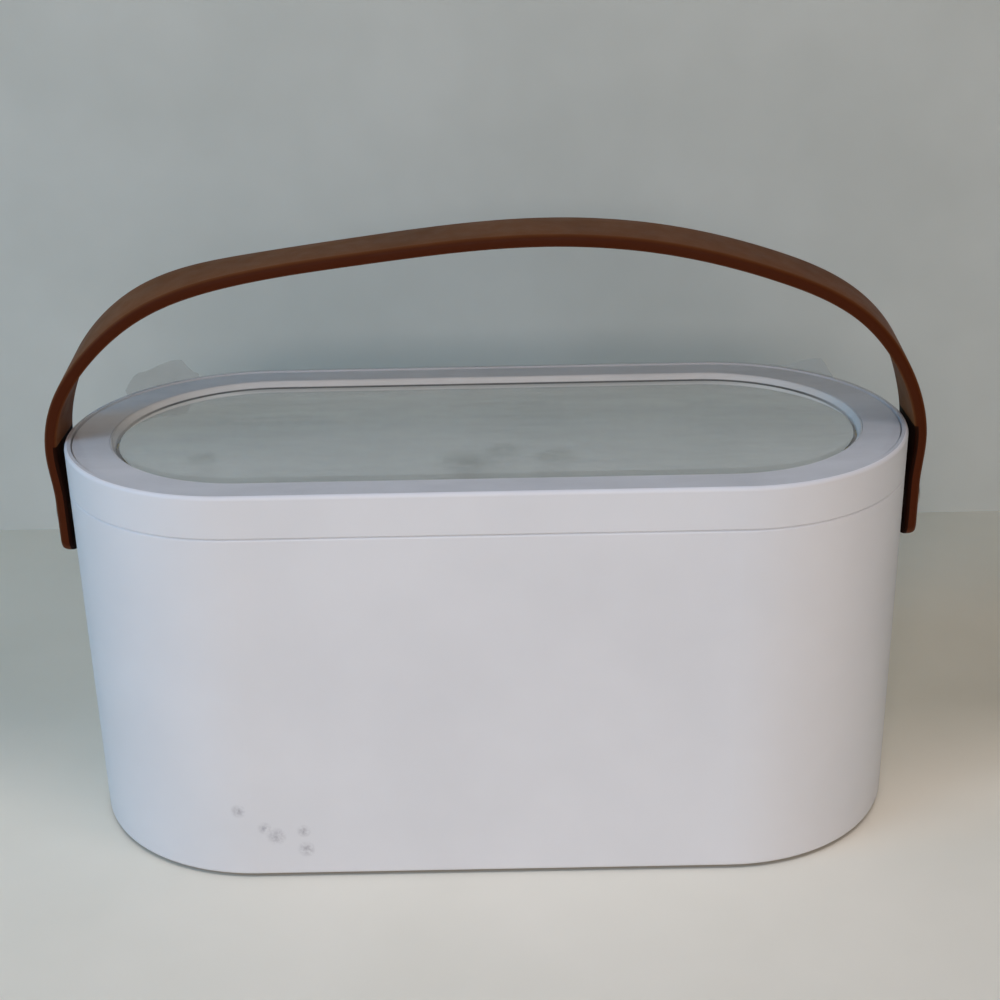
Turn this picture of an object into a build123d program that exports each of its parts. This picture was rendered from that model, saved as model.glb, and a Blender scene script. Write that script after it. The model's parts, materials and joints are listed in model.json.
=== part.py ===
"""Makeup travel case: a stadium-shaped tub, a lift-off lid with a lit mirror, and a strap handle.

Millimetres. X runs along the case, Y from front to back, Z up.
The origin lies on the table, under the middle of the case.
"""
import os
from math import cos, radians, sin

from build123d import *

os.makedirs("parts", exist_ok=True)

# Whole case
case_length = 260.0
case_depth = 114.0
case_height = 127.5
lid_band = 12.9
overrun = 2.0

# Tub
wall = 2.8
floor_thickness = 2.6
tub_bottom_radius = 1.2
tub_inner_radius = 4.0
tub_top_radius = 0.8
seam_gap = 0.2
lip_height = 3.0
lap_clearance = 0.35

# Feet
foot_diameter = 12.0
foot_thickness = 1.5
foot_height = 0.8
foot_inset = 15.0
foot_round = 0.4
foot_clearance = 0.15

# Dividers and the ribs that hold them
divider_offset = 42.0
divider_thickness = 1.8
divider_height = 84.0
divider_corner = 6.0
divider_side_gap = 0.4
divider_slot_gap = 0.2
rib_width = 1.6
rib_depth = 2.4
rib_drop = 4.0

# Strap pivots in the tub's ends
pivot_drop = 13.1
shoulder_diameter = 5.0
thread_diameter = 4.0
thread_end = 0.8
screw_head_diameter = 9.0
screw_head_height = 1.5
screw_head_round = 1.0
screw_socket_width = 2.5
screw_socket_depth = 0.9
seat_depth = 0.8
seat_clearance = 0.2
washer_diameter = 12.0
boss_diameter = 14.0
boss_height = 2.4
nut_width = 7.0
nut_height = 3.2
running_clearance = 0.05
thread_clearance = 0.05
hole_clearance = 0.15
end_play = 0.1

# Strap handle
strap_width = 22.0
strap_thickness = 3.8
strap_wall_gap = 0.4
arch_rise = 59.6
strap_leg_above_pivot = 6.5
strap_tip_below_pivot = 11.5
strap_tip_corner = 5.0
strap_tip_round = 2.2
strap_outer_edge = 1.3
strap_inner_edge = 0.5
left_leg_shares = [(1.009, 0.823), (0.989, 1.366)]
left_arch_shares = [(0.908, 0.4255), (0.776, 0.6625), (0.545, 0.8377), (0.273, 0.9267)]
right_leg_shares = [(1.007, 0.823), (0.991, 1.3)]
right_arch_shares = [(0.937, 0.3781), (0.853, 0.5849), (0.671, 0.7918), (0.4, 0.9526)]
crest_shares = (0.131, 1.0)
strap_tangent_shares = (1.0, 1.0)
eyelet_diameter = 7.0
eyelet_flange_diameter = 10.5
eyelet_flange_thickness = 0.5

# Lid frame
frame_wall = 1.95
frame_edge_round = 1.2
skirt_edge_round = 0.2
skirt_thickness = 1.3
flange_width = 8.5
flange_thickness = 2.0

# Top panel round the mirror
bezel_gap = 0.4
bezel_drop = 0.4
bezel_thickness = 2.0
bezel_wall = 1.6
bezel_edge_round = 0.4
bezel_rim_end = 11.35
bezel_rim_side = 8.85
bezel_boss_diameter = 4.4

# Mirror and its light ring
mirror_sink = 2.05
mirror_thickness = 3.0
mirror_gap = 1.2
bevel_run = 1.5
bevel_land = 0.3
diffuser_gap = 0.15
diffuser_top_drop = 0.1
diffuser_flange = 2.5
diffuser_flange_thickness = 1.4
tape_width = 8.0
tape_inset = 4.0
strip_width = 4.0
strip_thickness = 0.3
strip_gap = 0.6
led_count = 36
led_length = 2.8
led_width = 2.0
led_height = 0.8

# Carrier plate inside the lid
carrier_inset = 4.3
carrier_thickness = 1.6
carrier_boss_gap = 0.4
fence_thickness = 1.2
fence_height = 1.6
fence_gap = 0.5

# Electronics
touch_length = 14.0
touch_width = 9.0
touch_gap = 1.0
touch_corner = 1.5
battery_length = 50.0
battery_width = 34.0
battery_thickness = 3.0
battery_round = 1.2
battery_x = -45.0
board_length = 32.0
board_width = 20.0
board_thickness = 1.0
board_x = 46.0
chip_size = 7.0
chip_height = 1.2
chip_shift = 7.0
connector_length = 6.0
connector_width = 8.0
connector_height = 1.5
charge_board_length = 16.0
charge_board_thickness = 0.8
charge_board_gap = 0.15
usb_width = 8.9
usb_height = 3.2
usb_back_gap = 0.9
usb_wall = 0.35
usb_set_back = 0.8
usb_tongue_width = 6.6
usb_tongue_thickness = 0.7
usb_tongue_length = 4.4
usb_clearance = 0.3
lead_diameter = 1.2
lead_bend = 3.0
lead_pitch = 2.4
lead_hole_gap = 0.3
lead_notch_width = 9.0

# Lid cover and its screws
cover_clearance = 0.4
cover_floor = 1.6
cover_rim = 6.3
cover_edge_round = 0.6
cover_screw_inset = 5.8
cover_screw_share = 0.75
cover_screw_angle = 45.0
cover_screw_diameter = 2.0
cover_screw_length = 6.2
cover_screw_head = 3.8
cover_screw_head_height = 1.3
cover_screw_socket = 1.6
cover_screw_socket_depth = 0.6

# Film left on the lid top
film_inset = 0.9
film_thickness = 0.12
film_tab_angle = 51.5
film_tab_width = 26.0
film_tab_height = 7.0
film_tab_corner = 5.0

# Levels
seam_z = case_height - lid_band
shoulder_z = seam_z - seam_gap / 2
lip_z = shoulder_z + lip_height
skirt_z = seam_z + seam_gap / 2
floor_z = foot_height + floor_thickness
pivot_z = seam_z - pivot_drop
top_rise = case_height - pivot_z
flange_z = lip_z + flange_thickness
carrier_z = flange_z + carrier_thickness
bezel_z = case_height - bezel_drop
bezel_under_z = bezel_z - bezel_thickness
mirror_z = bezel_z - mirror_sink
mirror_under_z = mirror_z - mirror_thickness
strip_z = carrier_z + strip_thickness
cover_z = shoulder_z
cover_floor_z = cover_z + cover_floor

# Places along X at the right-hand pivot
end_x = case_length / 2
seat_x = end_x - seat_depth
boss_x = end_x - wall - boss_height
strap_inner_x = end_x + strap_wall_gap
strap_outer_x = strap_inner_x + strap_thickness
head_x = strap_outer_x + eyelet_flange_thickness + end_play

# Plan sizes
arc_x = (case_length - case_depth) / 2
bezel_inset = frame_wall + bezel_gap
opening_length = case_length - 2 * (bezel_inset + bezel_rim_end)
opening_depth = case_depth - 2 * (bezel_inset + bezel_rim_side)
mirror_length = opening_length - 2 * (bevel_run + mirror_gap)
mirror_depth = opening_depth - 2 * (bevel_run + mirror_gap)
bezel_inner_y = case_depth / 2 - bezel_inset - bezel_wall
strip_outer_y = mirror_depth / 2 + strip_gap + strip_width
strip_mid_length = mirror_length + 2 * strip_gap + strip_width
strip_mid_depth = mirror_depth + 2 * strip_gap + strip_width
touch_y = tape_inset + tape_width + touch_gap + touch_width / 2 - mirror_depth / 2
usb_face_y = case_depth / 2 - usb_set_back
usb_depth = usb_face_y - opening_depth / 2 - diffuser_flange - usb_back_gap
lead_z = flange_z - lead_diameter / 2


def stadium(inset=0.0):
    """The case's plan outline, drawn in by an inset."""
    return SlotOverall(case_length - 2 * inset, case_depth - 2 * inset)


def slab(outline, bottom, top):
    return extrude(Pos(0, 0, bottom) * outline, top - bottom)


def rod(diameter, start, end):
    """A round bar along the pivot axis between two X places."""
    bar = Cylinder(diameter / 2, end - start, align=(Align.CENTER, Align.CENTER, Align.MIN))
    return Pos(start, 0, pivot_z) * Rot(0, 90, 0) * bar


def post(diameter, bottom, top, x=0.0, y=0.0):
    """A round bar along Z between two levels."""
    bar = Cylinder(diameter / 2, top - bottom, align=(Align.CENTER, Align.CENTER, Align.MIN))
    return Pos(x, y, bottom) * bar


def both_ends(right_hand):
    """A piece at the right-hand end and its mirror image at the left."""
    return [right_hand, mirror(right_hand, about=Plane.YZ)]


def four_corners(x, y):
    return [(sx * x, sy * y) for sx in (1, -1) for sy in (1, -1)]


def foot_places():
    return four_corners(arc_x, case_depth / 2 - foot_inset)


def cover_screw_places():
    reach = case_depth / 2 - cover_screw_inset
    along_sides = four_corners(arc_x * cover_screw_share, reach)
    turn = radians(cover_screw_angle)
    round_ends = four_corners(arc_x + reach * cos(turn), reach * sin(turn))
    return along_sides + round_ends


def tub_shell():
    outer = slab(stadium(), foot_height, shoulder_z)
    outer = fillet(outer.edges().group_by(Axis.Z)[0], tub_bottom_radius)
    outer = fillet(outer.edges().group_by(Axis.Z)[-1], tub_top_radius)
    lip = slab(stadium(skirt_thickness + lap_clearance), shoulder_z, lip_z)
    hollow = slab(stadium(wall), floor_z, lip_z + overrun)
    hollow = fillet(hollow.edges().group_by(Axis.Z)[0], tub_inner_radius)
    shell = outer + lip - hollow
    rib_pitch = divider_thickness + 2 * divider_slot_gap + rib_width
    rib_reach = rib_depth + wall / 2
    rib_y = case_depth / 2 - wall - rib_depth
    rib_height = divider_height - rib_drop
    rib = Box(rib_width, rib_reach, rib_height, align=(Align.CENTER, Align.MIN, Align.MIN))
    for x in (-divider_offset, divider_offset):
        for side in (-rib_pitch / 2, rib_pitch / 2):
            back_rib = Pos(x + side, rib_y, floor_z) * rib
            shell += back_rib
            shell += mirror(back_rib, about=Plane.XZ)
    for boss in both_ends(rod(boss_diameter, boss_x, end_x - wall / 2)):
        shell += boss
    seat = rod(washer_diameter + 2 * seat_clearance, seat_x, end_x + overrun)
    hole = rod(thread_diameter + 2 * hole_clearance, boss_x - overrun, end_x + overrun)
    for cut in both_ends(seat) + both_ends(hole):
        shell -= cut
    for x, y in foot_places():
        shell -= post(foot_diameter + 2 * foot_clearance, foot_height - overrun, foot_thickness, x, y)
    return shell


def foot_pads():
    pads = []
    for x, y in foot_places():
        pad = post(foot_diameter, 0, foot_thickness, x, y)
        pads.append(fillet(pad.edges().group_by(Axis.Z)[0], foot_round))
    return pads


def divider(x):
    half_width = case_depth / 2 - wall - divider_side_gap
    outline = RectangleRounded(2 * half_width, divider_height, divider_corner)
    outline = Pos(0, divider_height / 2) * outline
    plate = extrude(Plane.YZ * outline, divider_thickness / 2, both=True)
    return Pos(x, 0, floor_z) * plate


def pivot_screw():
    head = rod(screw_head_diameter, head_x, head_x + screw_head_height)
    head = fillet(head.edges().group_by(Axis.X)[-1], screw_head_round)
    socket_outline = RegularPolygon(screw_socket_width / 2, 6, major_radius=False)
    socket = extrude(socket_outline, screw_socket_depth + overrun)
    head_top = head_x + screw_head_height
    head -= Pos(head_top - screw_socket_depth, 0, pivot_z) * Rot(0, 90, 0) * socket
    shoulder = rod(shoulder_diameter, seat_x, head_x)
    thread = rod(thread_diameter, boss_x - nut_height - thread_end, seat_x)
    return head + shoulder + thread


def pivot_washer():
    washer = rod(washer_diameter, seat_x, strap_inner_x)
    return washer - rod(shoulder_diameter + 2 * hole_clearance, seat_x - overrun, strap_inner_x + overrun)


def pivot_nut():
    body = extrude(RegularPolygon(nut_width / 2, 6, major_radius=False), nut_height)
    body = Pos(boss_x - nut_height, 0, pivot_z) * Rot(0, 90, 0) * body
    return body - rod(thread_diameter + 2 * thread_clearance, boss_x - nut_height - overrun, boss_x + overrun)


def strap_path():
    """The strap's middle line, up one leg, over the arch and down the other."""
    half_span = strap_inner_x + strap_thickness / 2
    tip_z = pivot_z - strap_tip_below_pivot
    leg_z = pivot_z + strap_leg_above_pivot
    left_leg = [(-half_span * x, 0, pivot_z + top_rise * z) for x, z in left_leg_shares]
    left_arch = [(-half_span * x, 0, case_height + arch_rise * z) for x, z in left_arch_shares]
    crest = [(half_span * crest_shares[0], 0, case_height + arch_rise * crest_shares[1])]
    right_leg = [(half_span * x, 0, pivot_z + top_rise * z) for x, z in right_leg_shares]
    right_arch = [(half_span * x, 0, case_height + arch_rise * z) for x, z in right_arch_shares]
    points = [(-half_span, 0, leg_z)] + left_leg + left_arch + crest
    points += right_arch[::-1] + right_leg[::-1] + [(half_span, 0, leg_z)]
    ends = [(0, 0, 1), (0, 0, -1)]
    arch = Spline(*points, tangents=ends, tangent_scalars=strap_tangent_shares)
    left_end = Line((-half_span, 0, tip_z), points[0])
    right_end = Line(points[-1], (half_span, 0, tip_z))
    return Wire([left_end, arch, right_end])


def handle_strap():
    half_span = strap_inner_x + strap_thickness / 2
    tip_z = pivot_z - strap_tip_below_pivot
    section = Rectangle(strap_thickness, strap_width)
    outer_corners = section.vertices().group_by(Axis.X)[0]
    section = fillet(outer_corners, strap_outer_edge)
    inner_corners = section.vertices().group_by(Axis.X)[-1]
    section = fillet(inner_corners, strap_inner_edge)
    strap = sweep(Pos(-half_span, 0, tip_z) * section, path=strap_path())
    blank = Rectangle(strap_width + 2 * overrun, 2 * strap_tip_corner)
    kept = Pos(0, strap_tip_corner) * RectangleRounded(strap_width, 4 * strap_tip_corner, strap_tip_corner)
    corners = extrude(Plane.YZ * (blank - Pos(0, strap_tip_corner) * kept), strap_thickness, both=True)
    round_blank = Rectangle(strap_tip_round, strap_tip_round, align=(Align.MAX, Align.MIN))
    round_kept = Pos(-strap_tip_round, strap_tip_round) * Circle(strap_tip_round)
    outer_round = extrude(Plane.XZ * (round_blank - round_kept), strap_width, both=True)
    hole = rod(eyelet_diameter, strap_inner_x - overrun, strap_outer_x + overrun)
    cuts = both_ends(Pos(half_span, 0, tip_z) * corners)
    cuts += both_ends(Pos(strap_outer_x, 0, tip_z) * outer_round)
    cuts += both_ends(hole)
    for cut in cuts:
        strap -= cut
    return strap


def strap_eyelet():
    barrel = rod(eyelet_diameter, strap_inner_x, strap_outer_x)
    flange = rod(eyelet_flange_diameter, strap_outer_x, strap_outer_x + eyelet_flange_thickness)
    bore = rod(shoulder_diameter + 2 * running_clearance, strap_inner_x - overrun, head_x + overrun)
    return barrel + flange - bore


def usb_opening(outward, clearance):
    """The charging port's outline, run along Y at the back of the lid."""
    width = usb_width + 2 * clearance
    height = usb_height + 2 * clearance
    outline = RectangleRounded(width, height, height / 2 - usb_wall)
    return extrude(Plane.XZ * outline, -outward)


def usb_centre_z():
    return carrier_z + charge_board_thickness + usb_height / 2


def lid_frame():
    band = slab(stadium(), skirt_z, case_height)
    band = fillet(band.edges().group_by(Axis.Z)[-1], frame_edge_round)
    band = fillet(band.edges().group_by(Axis.Z)[0], skirt_edge_round)
    band -= slab(stadium(skirt_thickness), skirt_z - overrun, lip_z)
    band -= slab(stadium(flange_width), lip_z - overrun, flange_z + overrun)
    band -= slab(stadium(frame_wall), flange_z, case_height + overrun)
    for x, y in cover_screw_places():
        band -= post(cover_screw_diameter + 2 * hole_clearance, lip_z - overrun, flange_z + overrun, x, y)
    port_y = case_depth / 2 - frame_wall - overrun
    band -= Pos(0, port_y, usb_centre_z()) * usb_opening(frame_wall + 2 * overrun, usb_clearance)
    notch = Box(lead_notch_width, flange_width, flange_thickness, align=(Align.CENTER, Align.MAX, Align.MIN))
    band -= Pos(0, case_depth / 2 - carrier_inset, lip_z) * notch
    return band


def mirror_bezel():
    panel = slab(stadium(bezel_inset), flange_z, bezel_z)
    panel = fillet(panel.edges().group_by(Axis.Z)[-1], bezel_edge_round)
    panel -= slab(stadium(bezel_inset + bezel_wall), flange_z - overrun, bezel_under_z)
    panel -= slab(SlotOverall(opening_length, opening_depth), flange_z, bezel_z + overrun)
    for x, y in cover_screw_places():
        panel += post(bezel_boss_diameter, flange_z, bezel_under_z, x, y)
    for x, y in cover_screw_places():
        pilot = cover_screw_diameter + 2 * thread_clearance
        panel -= post(pilot, flange_z - overrun, bezel_under_z, x, y)
    port_y = bezel_inner_y - overrun
    panel -= Pos(0, port_y, usb_centre_z()) * usb_opening(bezel_wall + 2 * overrun, usb_clearance)
    return panel


def diffuser_ring():
    top_z = bezel_z - diffuser_top_drop
    foot = SlotOverall(opening_length - 2 * bevel_run, opening_depth - 2 * bevel_run)
    brim_inset = diffuser_gap + bevel_land
    brim = SlotOverall(opening_length - 2 * brim_inset, opening_depth - 2 * brim_inset)
    outer = SlotOverall(opening_length - 2 * diffuser_gap, opening_depth - 2 * diffuser_gap)
    flange = SlotOverall(opening_length + 2 * diffuser_flange, opening_depth + 2 * diffuser_flange)
    flange_under_z = bezel_under_z - diffuser_flange_thickness
    ring = slab(flange, flange_under_z, bezel_under_z) + slab(outer, bezel_under_z, top_z)
    ring -= slab(foot, flange_under_z - overrun, mirror_z)
    ring -= loft([Pos(0, 0, mirror_z) * foot, Pos(0, 0, top_z) * brim], ruled=True)
    return ring


def mirror_glass():
    return slab(SlotOverall(mirror_length, mirror_depth), mirror_under_z, mirror_z)


def mirror_tape():
    outer = SlotOverall(mirror_length - 2 * tape_inset, mirror_depth - 2 * tape_inset)
    inner_inset = tape_inset + tape_width
    inner = SlotOverall(mirror_length - 2 * inner_inset, mirror_depth - 2 * inner_inset)
    return slab(outer - inner, carrier_z, mirror_under_z)


def led_strip():
    outer = SlotOverall(strip_mid_length + strip_width, strip_mid_depth + strip_width)
    inner = SlotOverall(strip_mid_length - strip_width, strip_mid_depth - strip_width)
    return slab(outer - inner, carrier_z, strip_z)


def led_chips():
    """Chips at an even pitch round the strip's middle line."""
    line = SlotOverall(strip_mid_length, strip_mid_depth).face().outer_wire()
    chip = Box(led_length, led_width, led_height, align=(Align.CENTER, Align.CENTER, Align.MIN))
    chips = []
    for index in range(led_count):
        share = (index + 1 / 2) / led_count
        place = line.position_at(share)
        heading = line.tangent_at(share)
        turn = Vector(1, 0, 0).get_signed_angle(heading, Vector(0, 0, 1))
        chips.append(Pos(place.X, place.Y, strip_z) * Rot(0, 0, turn) * chip)
    return chips


def lead_hole_places():
    strip_end = strip_mid_length / 2
    charge_y = charge_board_middle_y()
    pair = (-lead_pitch / 2, lead_pitch / 2)
    led_holes = [(strip_end, y) for y in pair]
    charge_holes = [(x, charge_y) for x in pair]
    return led_holes + charge_holes + [(0, touch_y)]


def led_carrier():
    plate = slab(stadium(carrier_inset), flange_z, carrier_z)
    low_z = flange_z - overrun
    high_z = carrier_z + overrun
    for x, y in cover_screw_places():
        plate -= post(bezel_boss_diameter + 2 * carrier_boss_gap, low_z, high_z, x, y)
    for x, y in lead_hole_places():
        plate -= post(lead_diameter + 2 * lead_hole_gap, low_z, high_z, x, y)
    inner_length = battery_length + 2 * fence_gap
    inner_width = battery_width + 2 * fence_gap
    fence = Rectangle(inner_length + 2 * fence_thickness, inner_width + 2 * fence_thickness)
    fence -= Rectangle(inner_length, inner_width)
    wall_gap = Pos(inner_length / 2, 0) * Rectangle(4 * fence_thickness, 3 * lead_pitch)
    fence -= wall_gap
    return plate + Pos(battery_x, 0, 0) * slab(fence, flange_z - fence_height, flange_z)


def touch_pad():
    pad = RectangleRounded(touch_length, touch_width, touch_corner)
    return slab(Pos(0, touch_y) * pad, carrier_z, mirror_under_z)


def battery_cell():
    low = (Align.CENTER, Align.CENTER, Align.MAX)
    cell = Box(battery_length, battery_width, battery_thickness, align=low)
    cell = fillet(cell.edges().filter_by(Axis.X), battery_round)
    return Pos(battery_x, 0, flange_z) * cell


def control_board():
    """A populated board on the underside of the carrier."""
    low = (Align.CENTER, Align.CENTER, Align.MAX)
    board = Box(board_length, board_width, board_thickness, align=low)
    under = -board_thickness
    board += Pos(chip_shift, 0, under) * Box(chip_size, chip_size, chip_height, align=low)
    connector = Box(connector_length, connector_width, connector_height, align=low)
    board += Pos(-board_length / 2 + connector_length / 2, 0, under) * connector
    return Pos(board_x, 0, flange_z) * board


def charge_board_middle_y():
    return (strip_outer_y + bezel_inner_y) / 2


def charge_board():
    width = bezel_inner_y - strip_outer_y - 2 * charge_board_gap
    board = Rectangle(charge_board_length, width)
    return slab(Pos(0, charge_board_middle_y()) * board, carrier_z, carrier_z + charge_board_thickness)


def usb_socket():
    shell = usb_opening(usb_depth, 0)
    hollow = Pos(0, usb_wall, 0) * usb_opening(usb_depth, -usb_wall)
    tongue = Box(usb_tongue_width, usb_tongue_length + usb_wall, usb_tongue_thickness,
                 align=(Align.CENTER, Align.MIN, Align.CENTER))
    return Pos(0, usb_face_y - usb_depth, usb_centre_z()) * (shell - hollow + tongue)


def lead(points):
    """A round wire along straight runs with bent corners."""
    line = FilletPolyline(*points, radius=lead_bend)
    start = Plane(origin=line @ 0, z_dir=line % 0)
    return sweep(start * Circle(lead_diameter / 2), path=line)


def short_lead(points):
    """A wire that ends in an upright run too short for the wide bend."""
    upright = post(lead_diameter, lead_z, carrier_z, points[-1][0], points[-1][1])
    return lead(points) + upright + Pos(*points[-1]) * Sphere(lead_diameter / 2)


def battery_leads():
    start_x = battery_x + battery_length / 2
    end_x_board = board_x - board_length / 2
    mid_x = (start_x + end_x_board) / 2
    sway_xs = [mid_x - 2 * lead_bend, mid_x - lead_bend, mid_x + lead_bend, mid_x + 2 * lead_bend]
    leads = []
    for y in (-lead_pitch / 2, lead_pitch / 2):
        sway = y + 2 * lead_pitch
        points = [(x, at, lead_z) for x, at in zip(sway_xs, (y, sway, sway, y))]
        leads.append(lead([(start_x, y, lead_z)] + points + [(end_x_board, y, lead_z)]))
    return leads


def led_leads():
    start_x = board_x + board_length / 2
    strip_end = strip_mid_length / 2
    pair = (-lead_pitch / 2, lead_pitch / 2)
    leads = []
    for y in pair:
        mid_x = (start_x + strip_end) / 2
        sway = y + lead_pitch
        points = [(start_x, y, lead_z), (mid_x - lead_bend, y, lead_z), (mid_x + lead_bend, sway, lead_z)]
        points += [(strip_end - 2 * lead_bend, sway, lead_z), (strip_end, y, lead_z)]
        leads.append(short_lead(points))
    return leads


def charge_leads():
    charge_y = charge_board_middle_y()
    leads = []
    for side in (-1, 1):
        x = side * lead_pitch / 2
        start_x = board_x - lead_pitch * (1 - side / 2)
        bend_y = charge_y - lead_notch_width + side * lead_pitch / 2
        points = [(start_x, board_width / 2, lead_z), (start_x, bend_y, lead_z)]
        points += [(x, bend_y, lead_z), (x, charge_y, lead_z)]
        leads.append(short_lead(points))
    return leads


def touch_lead():
    points = [(board_x, -board_width / 2, lead_z), (board_x, touch_y, lead_z), (0, touch_y, lead_z)]
    return short_lead(points)


def lid_cover():
    tray = slab(stadium(wall + cover_clearance), cover_z, lip_z)
    tray = fillet(tray.edges().group_by(Axis.Z)[0], cover_edge_round)
    tray -= slab(stadium(wall + cover_clearance + cover_rim), cover_floor_z, lip_z + overrun)
    for x, y in cover_screw_places():
        tray -= post(cover_screw_diameter + 2 * hole_clearance, cover_z - overrun, lip_z + overrun, x, y)
        tray -= post(cover_screw_head + 2 * hole_clearance, cover_z - overrun, cover_floor_z, x, y)
    return tray


def cover_screw(x, y):
    head = post(cover_screw_head, cover_floor_z - cover_screw_head_height, cover_floor_z, x, y)
    socket_outline = RegularPolygon(cover_screw_socket / 2, 6, major_radius=False)
    socket_z = cover_floor_z - cover_screw_head_height - overrun
    head -= Pos(x, y, socket_z) * extrude(socket_outline, cover_screw_socket_depth + overrun)
    return head + post(cover_screw_diameter, cover_floor_z, cover_floor_z + cover_screw_length, x, y)


def protective_film():
    """A flat sheet with two pull tabs that stand up from its back edge."""
    film = slab(stadium(film_inset), case_height, case_height + film_thickness)
    edge = stadium(film_inset) - stadium(film_inset + film_thickness)
    wall_up = slab(edge, case_height, case_height + film_tab_height)
    turn = radians(film_tab_angle)
    facing = (cos(turn), sin(turn), 0)
    outward = Plane(origin=(arc_x, 0, case_height), x_dir=(sin(turn), -cos(turn), 0), z_dir=facing)
    outline = RectangleRounded(film_tab_width, 2 * film_tab_height, film_tab_corner)
    tab = wall_up & extrude(outward * outline, case_depth)
    for piece in both_ends(tab):
        film += piece
    return film


def write(name, *solids):
    shape = solids[0] if len(solids) == 1 else Compound(children=list(solids))
    export_step(shape, f"parts/{name}.step")


write("tub_shell", tub_shell())
write("foot_pads", *foot_pads())
write("left_divider", divider(-divider_offset))
write("right_divider", divider(divider_offset))
write("pivot_screws", *both_ends(pivot_screw()))
write("pivot_washers", *both_ends(pivot_washer()))
write("pivot_nuts", *both_ends(pivot_nut()))
write("handle_strap", handle_strap())
write("strap_eyelets", *both_ends(strap_eyelet()))
write("lid_frame", lid_frame())
write("mirror_bezel", mirror_bezel())
write("diffuser_ring", diffuser_ring())
write("mirror_glass", mirror_glass())
write("mirror_tape", mirror_tape())
write("led_strip", led_strip())
write("led_chips", *led_chips())
write("led_carrier", led_carrier())
write("touch_pad", touch_pad())
write("battery_cell", battery_cell())
write("control_board", control_board())
write("charge_board", charge_board())
write("usb_socket", usb_socket())
write("battery_leads", *battery_leads())
write("led_leads", *led_leads())
write("charge_leads", *charge_leads())
write("touch_lead", touch_lead())
write("lid_cover", lid_cover())
write("cover_screws", *[cover_screw(x, y) for x, y in cover_screw_places()])
write("protective_film", protective_film())
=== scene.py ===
"""Looks of the makeup travel case: materials, soft strap and film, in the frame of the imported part."""

import json
import math

import bmesh
import bpy
import numpy as np
from mathutils import Matrix, Vector


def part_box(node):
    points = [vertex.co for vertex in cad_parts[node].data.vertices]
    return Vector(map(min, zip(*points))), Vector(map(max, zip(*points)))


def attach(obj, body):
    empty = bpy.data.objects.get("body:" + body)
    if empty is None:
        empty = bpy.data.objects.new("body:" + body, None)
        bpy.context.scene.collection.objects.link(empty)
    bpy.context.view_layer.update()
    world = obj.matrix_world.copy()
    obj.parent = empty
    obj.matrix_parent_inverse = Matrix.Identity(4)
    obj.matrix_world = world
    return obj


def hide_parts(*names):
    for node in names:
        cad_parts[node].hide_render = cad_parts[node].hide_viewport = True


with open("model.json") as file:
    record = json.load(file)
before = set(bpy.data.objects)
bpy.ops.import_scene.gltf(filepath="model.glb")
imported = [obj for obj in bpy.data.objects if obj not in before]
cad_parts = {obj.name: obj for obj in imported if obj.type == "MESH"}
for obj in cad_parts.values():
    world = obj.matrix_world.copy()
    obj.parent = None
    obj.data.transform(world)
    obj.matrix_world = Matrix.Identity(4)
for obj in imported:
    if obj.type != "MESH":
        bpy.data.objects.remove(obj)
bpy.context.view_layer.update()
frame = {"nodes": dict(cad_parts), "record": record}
nodes = frame["nodes"]
scene = bpy.context.scene
scene.view_settings.view_transform = "Standard"

# Places read from the frame
MM = 0.001
LID_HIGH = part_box("lid_frame")[1]
LID_TOP = LID_HIGH.z
HALF_LENGTH = LID_HIGH.x
HALF_DEPTH = LID_HIGH.y
ARC_X = HALF_LENGTH - HALF_DEPTH
PIVOT_Z = sum(corner.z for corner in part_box("pivot_screws")) / 2
MIRROR_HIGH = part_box("mirror_glass")[1]
MIRROR_TOP = MIRROR_HIGH.z
MIRROR_REACH = MIRROR_HIGH.y
TUB_LOW_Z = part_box("tub_shell")[0].z


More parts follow.
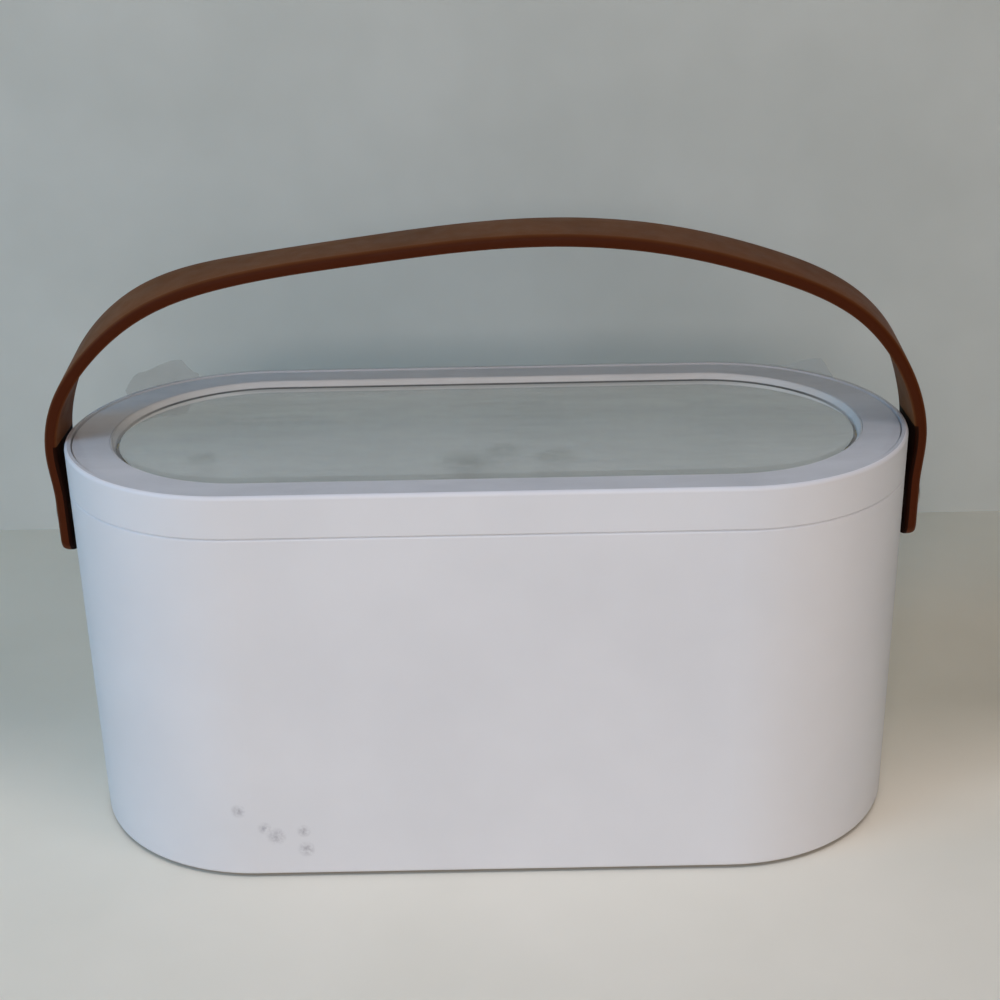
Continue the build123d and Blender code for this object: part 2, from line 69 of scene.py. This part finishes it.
# Materials
class Paint:
    """A small helper that wires one node material."""

    def __init__(self, name):
        self.mat = bpy.data.materials.new(name)
        self.mat.use_nodes = True
        self.tree = self.mat.node_tree
        self.shader = self.tree.nodes["Principled BSDF"]
        self.coords = self.add("ShaderNodeTexCoord")

    def add(self, kind, **sockets):
        node = self.tree.nodes.new(kind)
        for key, value in sockets.items():
            node.inputs[key].default_value = value
        return node

    def link(self, out, into):
        self.tree.links.new(out, into)

    def set(self, **sockets):
        for key, value in sockets.items():
            self.shader.inputs[key.replace("_", " ")].default_value = value
        return self

    def noise(self, scale, detail=3.0, rough=0.55, stretch=(1, 1, 1)):
        place = self.add("ShaderNodeMapping")
        place.inputs["Scale"].default_value = stretch
        self.link(self.coords.outputs["Object"], place.inputs["Vector"])
        noise = self.add("ShaderNodeTexNoise", Scale=scale, Detail=detail, Roughness=rough)
        self.link(place.outputs["Vector"], noise.inputs["Vector"])
        return noise.outputs["Fac"]

    def ramp(self, fac, low, high, start=0.35, end=0.65):
        ramp = self.add("ShaderNodeValToRGB")
        ramp.color_ramp.elements[0].position = start
        ramp.color_ramp.elements[1].position = end
        ramp.color_ramp.elements[0].color = tuple(low) + (1,)
        ramp.color_ramp.elements[1].color = tuple(high) + (1,)
        self.link(fac, ramp.inputs["Fac"])
        return ramp.outputs["Color"]

    def spread(self, fac, low, high, start=0.35, end=0.65):
        """A number that varies between low and high with fac."""
        spread = self.add("ShaderNodeMapRange")
        spread.inputs["From Min"].default_value = start
        spread.inputs["From Max"].default_value = end
        spread.inputs["To Min"].default_value = low
        spread.inputs["To Max"].default_value = high
        self.link(fac, spread.inputs["Value"])
        return spread.outputs["Result"]

    def math(self, operation, first, second):
        node = self.add("ShaderNodeMath")
        node.operation = operation
        self.link(first, node.inputs[0])
        self.link(second, node.inputs[1])
        return node.outputs["Value"]

    def tones(self, low, high, scale, detail=3.0):
        self.link(self.ramp(self.noise(scale, detail), low, high), self.shader.inputs["Base Color"])
        return self

    def rough(self, low, high, scale):
        self.link(self.spread(self.noise(scale), low, high), self.shader.inputs["Roughness"])
        return self

    def bump(self, height, scale, strength, detail=3.0, stretch=(1, 1, 1)):
        bump = self.add("ShaderNodeBump", Strength=strength, Distance=height)
        self.link(self.noise(scale, detail, stretch=stretch), bump.inputs["Height"])
        earlier = self.shader.inputs["Normal"].links
        if earlier:
            self.link(earlier[0].from_socket, bump.inputs["Normal"])
        self.link(bump.outputs["Normal"], self.shader.inputs["Normal"])
        return self

    def mixed(self, fac, colour):
        """Mixes another colour into the base colour as fac rises from 0 to 1."""
        mix = self.add("ShaderNodeMix")
        mix.data_type = "RGBA"
        under, over = [socket for socket in mix.inputs if socket.type == "RGBA"]
        over.default_value = tuple(colour) + (1,)
        self.link(fac, mix.inputs[0])
        self.link(self.shader.inputs["Base Color"].links[0].from_socket, under)
        result = [socket for socket in mix.outputs if socket.type == "RGBA"][0]
        self.link(result, self.shader.inputs["Base Color"])
        return self

    def along(self, axis, kind="Object"):
        """The place on one axis, in the object's own metres, or how far the surface faces along it."""
        split = self.add("ShaderNodeSeparateXYZ")
        self.link(self.coords.outputs[kind], split.inputs["Vector"])
        return split.outputs[axis]

    def smudge(self, marks, colour, scale, start, end):
        """Darkens the base colour in soft, patchy marks, each a place and a reach."""
        strongest = None
        for place, reach in marks:
            gap = self.add("ShaderNodeVectorMath")
            gap.operation = "DISTANCE"
            gap.inputs[1].default_value = place
            self.link(self.coords.outputs["Object"], gap.inputs[0])
            near = self.spread(gap.outputs["Value"], 1.0, 0.0, 0.1 * reach, reach)
            strongest = near if strongest is None else self.math("MAXIMUM", strongest, near)
        patchy = self.spread(self.noise(scale, 3.0, 0.6), 0.0, 1.0, start, end)
        return self.mixed(self.math("MULTIPLY", strongest, patchy), colour)


def simple(name, low, high, scale, roughness, grain=0.05 * MM, grain_scale=1500, strength=0.3, **sockets):
    paint = Paint(name).tones(low, high, scale).bump(grain, grain_scale, strength)
    return paint.set(Roughness=roughness, **sockets)


def white_plastic(name, low=(0.78, 0.79, 0.81), high=(0.82, 0.83, 0.85)):
    paint = Paint(name).tones(low, high, 18).rough(0.42, 0.52, 60)
    return paint.bump(0.03 * MM, 2600, 0.35, detail=2.0).bump(0.2 * MM, 35, 0.05)


# Handling marks low on the front, as (x, z, reach) in mm
FRONT_MARKS = [(-77.5, 24.0, 2.6), (-70.0, 17.9, 2.4), (-66.5, 14.9, 3.4), (-58.0, 16.6, 2.4),
               (-57.5, 10.0, 3.0)]

# Patches on the film, as (x, y, reach) in mm
FILM_MARKS = [(-83.9, -26.0, 6.5), (-5.6, -32.0, 11.0), (4.9, -24.2, 7.5), (20.5, -29.2, 8.0)]


def tub_plastic():
    """White plastic with the handling marks, and a dark line in place of the shade under its lowest edge."""
    marks = [((x * MM, -HALF_DEPTH, z * MM), reach * MM) for x, z, reach in FRONT_MARKS]
    paint = white_plastic("tub_plastic").smudge(marks, (0.48, 0.48, 0.51), 700, 0.34, 0.62)
    edge = paint.spread(paint.along("Z"), 1.0, 0.0, TUB_LOW_Z + 0.15 * MM, TUB_LOW_Z + 0.5 * MM)
    return paint.mixed(edge, (0.10, 0.10, 0.105))


def strap_leather():
    """Brown leather whose face turns into a darker, redder painted edge on both sides."""
    paint = Paint("strap_leather").tones((0.205, 0.070, 0.021), (0.245, 0.085, 0.026), 45)
    sideways = paint.add("ShaderNodeMath")
    sideways.operation = "ABSOLUTE"
    paint.link(paint.along("Y", "Normal"), sideways.inputs[0])
    edge = paint.spread(sideways.outputs["Value"], 0.0, 1.0, 0.15, 0.95)
    paint.mixed(edge, (0.066, 0.012, 0.0012))
    paint.rough(0.48, 0.58, 160).set(Specular_IOR_Level=0.09)
    return paint.bump(0.10 * MM, 950, 0.5, detail=4.0).bump(0.05 * MM, 3200, 0.4)


def strap_painted_shade():
    """Near-black paint on the inner side of the strap's legs: painted shade where they lie against the case.
    """
    paint = Paint("strap_painted_shade").tones((0.011, 0.0026, 0.0007), (0.017, 0.0040, 0.0011), 45)
    paint.rough(0.55, 0.65, 160).set(Specular_IOR_Level=0.05)
    return paint.bump(0.05 * MM, 3200, 0.4)


def diffuser():
    """White light guide; along the back its foot, beside the mirror's face, is dark in place of shade."""
    paint = simple("diffuser", (0.90, 0.90, 0.88), (0.94, 0.94, 0.92), 90, 0.38)
    foot = paint.spread(paint.along("Z"), 1.0, 0.0, MIRROR_TOP + 0.1 * MM, MIRROR_TOP + 0.3 * MM)
    back = paint.spread(paint.along("Y"), 0.0, 1.0, 0.2 * MIRROR_REACH, 0.7 * MIRROR_REACH)
    return paint.mixed(paint.math("MULTIPLY", foot, back), (0.012, 0.012, 0.012))


def mirror_glass():
    """Silvered glass, greyed along its back edge as painted shade of the gap beside it."""
    paint = Paint("mirror_silver").tones((0.90, 0.94, 0.93), (0.93, 0.96, 0.95), 25)
    # Painted shade: the silver turns grey towards the back edge only.
    edge = paint.spread(paint.along("Y"), 0.0, 1.0, MIRROR_REACH - 5.0 * MM, MIRROR_REACH - 0.5 * MM)
    paint.mixed(edge, (0.50, 0.52, 0.51))
    return paint.rough(0.03, 0.07, 30).set(Metallic=1.0)


# A clear film whose grey base colour is a painted reflection of the wall in it.
def clear_film(name, low, high):
    paint = Paint(name).tones(low, high, 40)
    marks = [((x * MM, y * MM, LID_TOP), reach * MM) for x, y, reach in FILM_MARKS]
    paint.smudge(marks, (0.08, 0.085, 0.085), 300, 0.36, 0.52)
    paint.bump(0.4 * MM, 55, 0.2, stretch=(0.5, 1.6, 1)).set(Roughness=0.16)
    haze = paint.spread(paint.noise(70, 4.0, 0.6, stretch=(0.45, 1.5, 1)), 0.31, 0.40, 0.40, 0.72)
    paint.link(haze, paint.shader.inputs["Alpha"])
    return paint


slots = {
    "white_plastic": white_plastic("white_plastic"),
    "divider_plastic": white_plastic("divider_plastic", (0.74, 0.74, 0.75), (0.78, 0.78, 0.79)),
    "rubber_feet": simple("rubber_feet", (0.045, 0.045, 0.048), (0.065, 0.065, 0.068), 120, 0.8),
    "steel": simple("steel", (0.52, 0.51, 0.50), (0.62, 0.61, 0.60), 300, 0.32, Metallic=1.0),
    "nylon": simple("nylon", (0.76, 0.76, 0.72), (0.82, 0.82, 0.78), 200, 0.55),
    "strap_leather": strap_leather(),
    "eyelet_brass": simple("eyelet_brass", (0.55, 0.38, 0.16), (0.64, 0.46, 0.21), 300, 0.35, Metallic=1.0),
    "diffuser": diffuser(),
    "mirror": mirror_glass(),
    "foam": simple("foam", (0.05, 0.05, 0.05), (0.09, 0.09, 0.09), 900, 0.9, 0.2 * MM),
    "strip_board": simple("strip_board", (0.78, 0.78, 0.74), (0.84, 0.84, 0.80), 200, 0.5),
    "led": simple("led", (0.80, 0.66, 0.20), (0.88, 0.76, 0.30), 600, 0.25),
    "carrier_plastic": simple("carrier_plastic", (0.66, 0.66, 0.66), (0.72, 0.72, 0.72), 60, 0.5),
    "touch_foam": simple("touch_foam", (0.02, 0.02, 0.02), (0.04, 0.04, 0.04), 900, 0.9, 0.2 * MM),
    "battery_foil": simple("battery_foil", (0.58, 0.58, 0.60), (0.68, 0.68, 0.70), 150, 0.35, Metallic=0.9),
    "circuit_board": simple("circuit_board", (0.02, 0.10, 0.045), (0.035, 0.15, 0.07), 500, 0.4),
    "lead_jacket": simple("lead_jacket", (0.32, 0.03, 0.03), (0.42, 0.05, 0.05), 300, 0.5),
    # Over the rim the film is a darker grey: painted reflection and painted shade.
    "film": clear_film("clear_film", (0.20, 0.21, 0.21), (0.24, 0.25, 0.25)),
}
marked_plastic = tub_plastic()

for row in frame["record"]["subparts"]:
    paint = marked_plastic if row["node"] == "tub_shell" else slots[row["material_slot"]]
    materials = nodes[row["node"]].data.materials
    materials.clear()
    materials.append(paint.mat)


def piece(name, verts, faces, body, slot):
    mesh = bpy.data.meshes.new(name)
    mesh.from_pydata([tuple(v) for v in verts], [], faces)
    mesh.update()
    obj = bpy.data.objects.new(name, mesh)
    scene.collection.objects.link(obj)
    mesh.materials.append(slots[slot].mat)
    mesh.shade_smooth()
    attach(obj, body)
    return obj


# Strap
STRAP_LOW, STRAP_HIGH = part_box("handle_strap")
STRAP_THICK = 3.8 * MM
STRAP_WALL_GAP = 0.4 * MM
STRAP_OUTER_EDGE = 1.5 * MM
STRAP_INNER_EDGE = 1.0 * MM
STRAP_CROWN = 0.08 * MM
STRAP_TIP_CORNER = 5.0 * MM
STRAP_TIP_ROUND = 2.2 * MM
STRAP_LEG = 6.5 * MM
STRAP_STEP = 1.5 * MM
EYELET_RADIUS = 3.5 * MM
HALF_SPAN = HALF_LENGTH + STRAP_WALL_GAP + STRAP_THICK / 2
LEG_RISE = LID_TOP - PIVOT_Z
ARCH_RISE = STRAP_HIGH.z - STRAP_THICK / 2 - LID_TOP

# The strap's line: shares of the half span and of the rise of its legs or arch, and how far its back
# edge is turned outward there, in degrees
LEFT_LEG = [(-1.009, 0.823, 0.0), (-0.989, 1.366, 0.8)]
LEFT_ARCH = [(-0.908, 0.4255, 6.8), (-0.776, 0.6625, 7.8), (-0.545, 0.8377, 1.5), (-0.273, 0.9267, 0.3)]
CREST = [(0.131, 1.0, 1.0)]
RIGHT_ARCH = [(0.4, 0.9526, 2.0), (0.671, 0.7918, 3.4), (0.853, 0.5849, 4.6), (0.937, 0.3781, 4.4)]
RIGHT_LEG = [(0.991, 1.3, 0.5), (1.007, 0.823, 0.0)]


def strap_marks():
    """The points that the strap's middle line passes through, as (x, z, twist)."""
    def placed(rows, base, rise):
        return [(x * HALF_SPAN, base + z * rise, math.radians(twist)) for x, z, twist in rows]

    marks = [(-HALF_SPAN, PIVOT_Z + STRAP_LEG, 0.0)] + placed(LEFT_LEG, PIVOT_Z, LEG_RISE)
    marks += placed(LEFT_ARCH + CREST + RIGHT_ARCH, LID_TOP, ARCH_RISE)
    marks += placed(RIGHT_LEG, PIVOT_Z, LEG_RISE) + [(HALF_SPAN, PIVOT_Z + STRAP_LEG, 0.0)]
    return np.array(marks)


def strap_line():
    """Stations along the middle line from tip to tip: straight legs and a smooth cubic through the marks."""
    marks = strap_marks()
    steps = np.linalg.norm(np.diff(marks[:, :2], axis=0), axis=1)
    count = len(marks)
    system = np.zeros((count, count))
    goal = np.zeros((count, 3))
    system[0, 0] = system[-1, -1] = 1
    goal[0], goal[-1] = (0, 1, 0), (0, -1, 0)
    for i in range(1, count - 1):
        before, after = steps[i - 1], steps[i]
        system[i, i - 1], system[i, i], system[i, i + 1] = after, 2 * (before + after), before
        rise_before = (marks[i] - marks[i - 1]) / before
        rise_after = (marks[i + 1] - marks[i]) / after
        goal[i] = 3 * (after * rise_before + before * rise_after)
    slopes = np.linalg.solve(system, goal)
    near_tip = np.linspace(STRAP_LOW.z, STRAP_LOW.z + 1.05 * STRAP_TIP_CORNER, 14)
    leg = list(near_tip) + list(np.linspace(near_tip[-1], marks[0][1], 9))[1:-1]
    line = [(-HALF_SPAN, z, 0.0) for z in leg]
    for i in range(count - 1):
        parts = max(4, int(steps[i] / STRAP_STEP))
        for k in range(parts):
            t = k / parts
            start, end = (1 + 2 * t) * (1 - t) ** 2, t * t * (3 - 2 * t)
            leave, arrive = t * (1 - t) ** 2, t * t * (t - 1)
            bend = steps[i] * (leave * slopes[i] + arrive * slopes[i + 1])
            line.append(start * marks[i] + end * marks[i + 1] + bend)
    line.append(marks[-1])
    line += [(HALF_SPAN, z, 0.0) for z in reversed(leg)]
    return np.array(line)


def strap_section(half_width, thick_out, thick_in):
    """Closed outline of the strap, as (across, outward), with round edges and a slightly crowned face."""
    outer = min(STRAP_OUTER_EDGE, 0.45 * (thick_out + thick_in))
    inner = min(STRAP_INNER_EDGE, 0.3 * (thick_out + thick_in))
    outer_x, outer_z = half_width - outer, thick_out - outer
    inner_x, inner_z = half_width - inner, inner - thick_in
    corners = [(outer_x, outer_z, outer), (-outer_x, outer_z, outer),
               (-inner_x, inner_z, inner), (inner_x, inner_z, inner)]
    outline = []
    for quarter, (across, outward, radius) in enumerate(corners):
        for k in range(6):
            turn = math.pi / 2 * (quarter + k / 5)
            outline.append((across + radius * math.cos(turn), outward + radius * math.sin(turn)))
        if quarter == 0:
            for share in (0.5, 0.0, -0.5):
                outline.append((share * half_width, thick_out + STRAP_CROWN * (1 - share**2)))
        if quarter == 2:
            outline += [(share * half_width, -thick_in) for share in (-0.5, 0.0, 0.5)]
    return outline


def rounded_off(left, radius):
    """How much a round end takes away at a distance left from the end."""
    if left >= radius:
        return 0.0
    return radius - math.sqrt(radius**2 - (radius - left) ** 2)


def build_strap():
    line = strap_line()
    heading = np.gradient(line[:, :2], axis=0)
    heading /= np.linalg.norm(heading, axis=1)[:, None]
    travel = np.concatenate([[0], np.cumsum(np.linalg.norm(np.diff(line[:, :2], axis=0), axis=1))])
    verts, faces, inner_faces, last = [], [], [], None
    for (x, z, twist), along, done in zip(line, heading, travel):
        left = min(done, travel[-1] - done)
        half = STRAP_HIGH.y - rounded_off(left, STRAP_TIP_CORNER)
        thick_out = STRAP_THICK / 2 - rounded_off(left, STRAP_TIP_ROUND)
        section = strap_section(half, thick_out, STRAP_THICK / 2)
        ring = range(len(verts), len(verts) + len(section))
        for across, off in section:
            reach = across + half
            turned = reach * math.sin(twist) + off * math.cos(twist)
            y = reach * math.cos(twist) - off * math.sin(twist) - half
            verts.append((x - along[1] * turned, y, z + along[0] * turned))
        for k in range(len(section) if last else 0):
            n = (k + 1) % len(section)
            outward = max(section[k][1], section[n][1])
            # Inner faces below the lid's top take the near-black painted shade.
            if z < LID_TOP and outward < 1.1 * STRAP_INNER_EDGE - STRAP_THICK / 2:
                inner_faces.append(len(faces))
            faces.append((last[k], last[n], ring[n], ring[k]))
        if last is None:
            faces.append(tuple(reversed(ring)))
        last = ring
    faces.append(tuple(last))
    strap = piece("strap", verts, faces, "handle", "strap_leather")
    strap.data.materials.append(strap_painted_shade().mat)
    for face in inner_faces:
        strap.data.polygons[face].material_index = 1
    punch_holes(strap)
    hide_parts("handle_strap")


def punch_holes(strap):
    """Cuts the two eyelet holes through the strap's ends."""
    for side in (-1, 1):
        bpy.ops.mesh.primitive_cylinder_add(vertices=48, radius=EYELET_RADIUS, depth=2 * STRAP_THICK)
        punch = bpy.context.object
        punch.location = (side * HALF_SPAN, 0, PIVOT_Z)
        punch.rotation_euler = (0, math.pi / 2, 0)
        cut = strap.modifiers.new("hole", "BOOLEAN")
        cut.operation = "DIFFERENCE"
        cut.solver = "EXACT"
        cut.object = punch
        bpy.context.view_layer.update()
        graph = bpy.context.evaluated_depsgraph_get()
        strap.data = bpy.data.meshes.new_from_object(strap.evaluated_get(graph))
        strap.modifiers.clear()
        bpy.data.objects.remove(punch)


build_strap()


# Film
FILM_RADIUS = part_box("protective_film")[1].y
FILM_Z = LID_TOP + 0.06 * MM
FILM_RINGS = 40

# The film's one long fold: the places in mm that it passes, and its height and half width in mm
FOLD = [(-77.8, 3.8), (-50.0, 4.9), (-34.3, -4.1), (-10.0, 17.6), (10.3, 19.3)]
FOLD_HEIGHT = 0.35
FOLD_WIDTH = 1.5

# The film's waves: a height in mm, and two sines as (turn per metre of x, turn per metre of y, shift)
WAVES = [(0.16, (95, 210, 0), (60, -140, 1.1)), (0.10, (260, 40, 0.6), (-35, 190, 0))]
WAVE_SINK = 0.25
WAVE_END = 0.93

# Pull tabs: where their tops are, as (turn from the end in degrees, height in mm), and how far they lean
LEFT_TAB = [(34.5, 0.0), (38.4, 4.8), (40.7, 6.2), (45.6, 5.9), (54.6, 7.3), (58.1, 7.0), (61.1, 2.6),
            (65.5, 0.0)]
RIGHT_TAB = [(41.0, 0.0), (43.0, 1.8), (46.2, 5.5), (53.4, 3.3), (60.0, 0.6), (66.0, 0.0)]
TAB_LEAN = 0.4 * MM


def film_marks():
    """Steps round the stadium, as (middle of the turn, turn) pairs: both ends and the straight sides."""
    ends, sides = 96, 48
    marks = [(ARC_X, -math.pi / 2 + math.pi * k / ends) for k in range(ends + 1)]
    marks += [(ARC_X * (1 - 2 * k / sides), math.pi / 2) for k in range(1, sides)]
    marks += [(-ARC_X, math.pi / 2 + math.pi * k / ends) for k in range(ends + 1)]
    marks += [(ARC_X * (2 * k / sides - 1), -math.pi / 2) for k in range(1, sides)]
    return marks


def fold_rise(x, y):
    """Height of the one long fold in the film, in mm, at a place in mm."""
    spot = np.array((x, y))
    nearest = None
    for start, end in zip(np.array(FOLD), np.array(FOLD[1:])):
        run = end - start
        share = np.clip(np.dot(spot - start, run) / np.dot(run, run), 0, 1)
        gap = np.linalg.norm(spot - start - share * run)
        nearest = gap if nearest is None else min(nearest, gap)
    return FOLD_HEIGHT * math.exp(-((nearest / FOLD_WIDTH) ** 2))


def film_lift(x, y):
    """How far the film stands off its flat place: waves and a fold over the mirror, none at the rim."""
    edge = math.hypot(max(abs(x) - ARC_X, 0), y) / FILM_RADIUS
    calm = max(0.0, 1 - (edge / WAVE_END) ** 6)
    rise = fold_rise(x / MM, y / MM) - WAVE_SINK
    for height, *sines in WAVES:
        rise += height * math.prod(math.sin(a * x + b * y + shift) for a, b, shift in sines)
    return calm * rise * MM


def build_film():
    marks = film_marks()
    verts, faces, rings = [], [], []
    for step in range(FILM_RINGS + 1):
        reach = step / FILM_RINGS * FILM_RADIUS
        rings.append(range(len(verts), len(verts) + len(marks)))
        for middle, turn in marks:
            x, y = middle + reach * math.cos(turn), reach * math.sin(turn)
            verts.append((x, y, FILM_Z + film_lift(x, y)))
    for inner, outer in zip(rings, rings[1:]):
        for k in range(len(marks)):
            n = (k + 1) % len(marks)
            faces.append((inner[k], outer[k], outer[n], inner[n]))
    painted_reflection_faces = len(marks) * int(FILM_RINGS * MIRROR_REACH / FILM_RADIUS)
    flat_faces = len(faces)
    add_tab(verts, faces, rings[-1], -1, LEFT_TAB)
    add_tab(verts, faces, rings[-1], 1, RIGHT_TAB)
    film = piece("film", verts, faces, "lid", "film")
    # Over the mirror and on the tabs the film takes a lighter grey copy, a painted reflection of the wall.
    film.data.materials.append(clear_film("film_painted_reflection", (0.46, 0.49, 0.48), (0.52, 0.55, 0.54)).mat)
    for face in list(range(painted_reflection_faces)) + list(range(flat_faces, len(faces))):
        film.data.polygons[face].material_index = 1
    weld(film)
    film.visible_shadow = False
    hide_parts("protective_film")
    return film


def weld(obj):
    """Joins the points that lie on one another."""
    work = bmesh.new()
    work.from_mesh(obj.data)
    bmesh.ops.remove_doubles(work, verts=work.verts, dist=0.001 * MM)
    work.to_mesh(obj.data)
    work.free()


def add_tab(verts, faces, edge, side, outline):
    """Raises a pull tab from the film's back edge at one end."""
    turns, heights = zip(*outline)
    span = []
    for index in edge:
        x, y, z = verts[index]
        turn = math.degrees(math.atan2(y, side * x - ARC_X))
        if side * x > ARC_X and turns[0] <= turn <= turns[-1]:
            span.append((turn, index))
    rows = 7
    grid = []
    for turn, index in sorted(span):
        x, y, z = verts[index]
        angle = math.radians(turn)
        tall = np.interp(turn, turns, heights) * MM
        column = [index]
        for row in range(1, rows + 1):
            up = row / rows
            out = TAB_LEAN * up * (up + math.sin(0.36 * turn + 2.0 * up))
            column.append(len(verts))
            verts.append((x + side * out * math.cos(angle), y + out * math.sin(angle), z + tall * up))
        grid.append(column)
    for a, b in zip(grid, grid[1:]):
        for row in range(rows):
            faces.append((a[row], b[row], b[row + 1], a[row + 1]))


film = build_film()


# Seal: a bead of silicone round the mirror, in the gap beside the light guide and of its colour, with its
# painted shade along the back
SEAL_GAP = 1.2 * MM
SEAL_PLAY = 0.05 * MM
SEAL_SINK = 0.15 * MM
SEAL_DEPTH = 1.6 * MM
SEAL_DISH = 0.12 * MM


def build_seal():
    inner, outer = MIRROR_REACH + SEAL_PLAY, MIRROR_REACH + SEAL_GAP - SEAL_PLAY
    top, low = MIRROR_TOP - SEAL_SINK, MIRROR_TOP - SEAL_DEPTH
    dish = ((inner + outer) / 2, top - SEAL_DISH)
    profile = [(inner, low), (outer, low), (outer, top), dish, (inner, top)]
    verts, faces = [], []
    marks = film_marks()
    for middle, turn in marks:
        verts += [(middle + reach * math.cos(turn), reach * math.sin(turn), z) for reach, z in profile]
    for k in range(len(marks)):
        here, there = k * len(profile), (k + 1) % len(marks) * len(profile)
        for i in range(len(profile)):
            n = (i + 1) % len(profile)
            faces.append((here + i, there + i, there + n, here + n))
    piece("mirror_seal", verts, faces, "lid", "diffuser")


build_seal()


# Stage
WALL_Y = 0.215
STAGE_HALF = 2.0
WALL_HEIGHT = 1.6
FLAG_Z = 0.55
FLAG_HALF = 1.5
FLAG_FRONT = -0.092
FLAG_BACK = 0.2


def stage_plane(name, corners, low, high, scale, roughness):
    mesh = bpy.data.meshes.new(name)
    mesh.from_pydata(corners, [], [(0, 1, 2, 3)])
    obj = bpy.data.objects.new(name, mesh)
    scene.collection.objects.link(obj)
    paint = simple(name, low, high, scale, roughness, 0.1 * MM, 300, 0.1)
    mesh.materials.append(paint.mat)
    return obj, paint


def seen_from_front(paint):
    """Lets a view from behind look through a backdrop."""
    side = paint.add("ShaderNodeNewGeometry")
    clear = paint.add("ShaderNodeBsdfTransparent")
    mix = paint.add("ShaderNodeMixShader")
    paint.link(side.outputs["Backfacing"], mix.inputs[0])
    paint.link(paint.shader.outputs[0], mix.inputs[1])
    paint.link(clear.outputs[0], mix.inputs[2])
    paint.link(mix.outputs[0], paint.tree.nodes["Material Output"].inputs["Surface"])


def flat_sheet(half, low_y, high_y, z):
    return [(-half, low_y, z), (half, low_y, z), (half, high_y, z), (-half, high_y, z)]


stage_plane("floor", flat_sheet(STAGE_HALF, -STAGE_HALF, WALL_Y, 0),
            (0.89, 0.845, 0.715), (0.935, 0.885, 0.755), 12, 0.55)
backdrop = [(-STAGE_HALF, WALL_Y, 0), (STAGE_HALF, WALL_Y, 0),
            (STAGE_HALF, WALL_Y, WALL_HEIGHT), (-STAGE_HALF, WALL_Y, WALL_HEIGHT)]
wall_paint = stage_plane("wall", backdrop, (0.66, 0.695, 0.65), (0.71, 0.745, 0.70), 14, 0.7)[1]
seen_from_front(wall_paint)

# A shade between the top light and the back of the lid, which the camera doesn't see
flag = stage_plane("flag", flat_sheet(FLAG_HALF, FLAG_FRONT, FLAG_BACK, FLAG_Z),
                   (0.45, 0.45, 0.45), (0.5, 0.5, 0.5), 14, 0.8)[0]
flag.visible_camera = False


# Lights
def area_light(name, place, target, size, power, colour):
    data = bpy.data.lights.new(name, "AREA")
    data.shape = "RECTANGLE"
    data.size, data.size_y = size
    data.energy = power
    data.color = colour
    obj = bpy.data.objects.new(name, data)
    scene.collection.objects.link(obj)
    obj.location = place
    obj.rotation_euler = (Vector(target) - Vector(place)).to_track_quat("-Z", "Y").to_euler()


area_light("front_light", (-0.06, -1.55, 0.72), (0, 0, 0.06), (0.75, 0.5), 11.5, (1.0, 0.88, 0.845))
area_light("top_light", (0.0, -0.33, 1.8), (0, -0.1, 0.0), (1.2, 0.13), 8.6, (1.0, 0.945, 1.0))
area_light("left_light", (-1.33, -0.62, 0.95), (0, 0, 0.06), (0.9, 0.8), 7.2, (0.08, 0.52, 1.0))
scene.world = scene.world or bpy.data.worlds.new("world")
scene.world.use_nodes = True
sky = scene.world.node_tree.nodes["Background"]
sky.inputs["Color"].default_value = (1.0, 1.0, 1.0, 1)
sky.inputs["Strength"].default_value = 0.0


# Camera, fitted to the photo's outline of the case, for a frame of 1000 by 1000 pixels
CAMERA_PLACE = (0.005538, -0.471681, 0.300244)
CAMERA_YAW, CAMERA_PITCH, CAMERA_ROLL = -0.003527, 0.399422, -0.020747
FOCAL_PIXELS = 1611.17
FRAME_PIXELS = 1000
SENSOR_WIDTH = 36


def photo_camera():
    level = math.cos(CAMERA_PITCH)
    ahead, aside = math.cos(CAMERA_YAW) * level, math.sin(CAMERA_YAW) * level
    forward = Vector((aside, ahead, -math.sin(CAMERA_PITCH)))
    right = Vector((math.cos(CAMERA_YAW), -math.sin(CAMERA_YAW), 0))
    up = right.cross(forward)
    tilt, lean = math.cos(CAMERA_ROLL), math.sin(CAMERA_ROLL)
    right, up = tilt * right + lean * up, tilt * up - lean * right
    data = bpy.data.cameras.new("camera")
    data.sensor_width = SENSOR_WIDTH
    data.lens = FOCAL_PIXELS / FRAME_PIXELS * SENSOR_WIDTH
    data.clip_start = 0.01
    camera = bpy.data.objects.new("camera", data)
    scene.collection.objects.link(camera)
    turn = Matrix((right, up, -forward)).transposed().to_4x4()
    camera.matrix_world = Matrix.Translation(CAMERA_PLACE) @ turn
    scene.camera = camera


photo_camera()
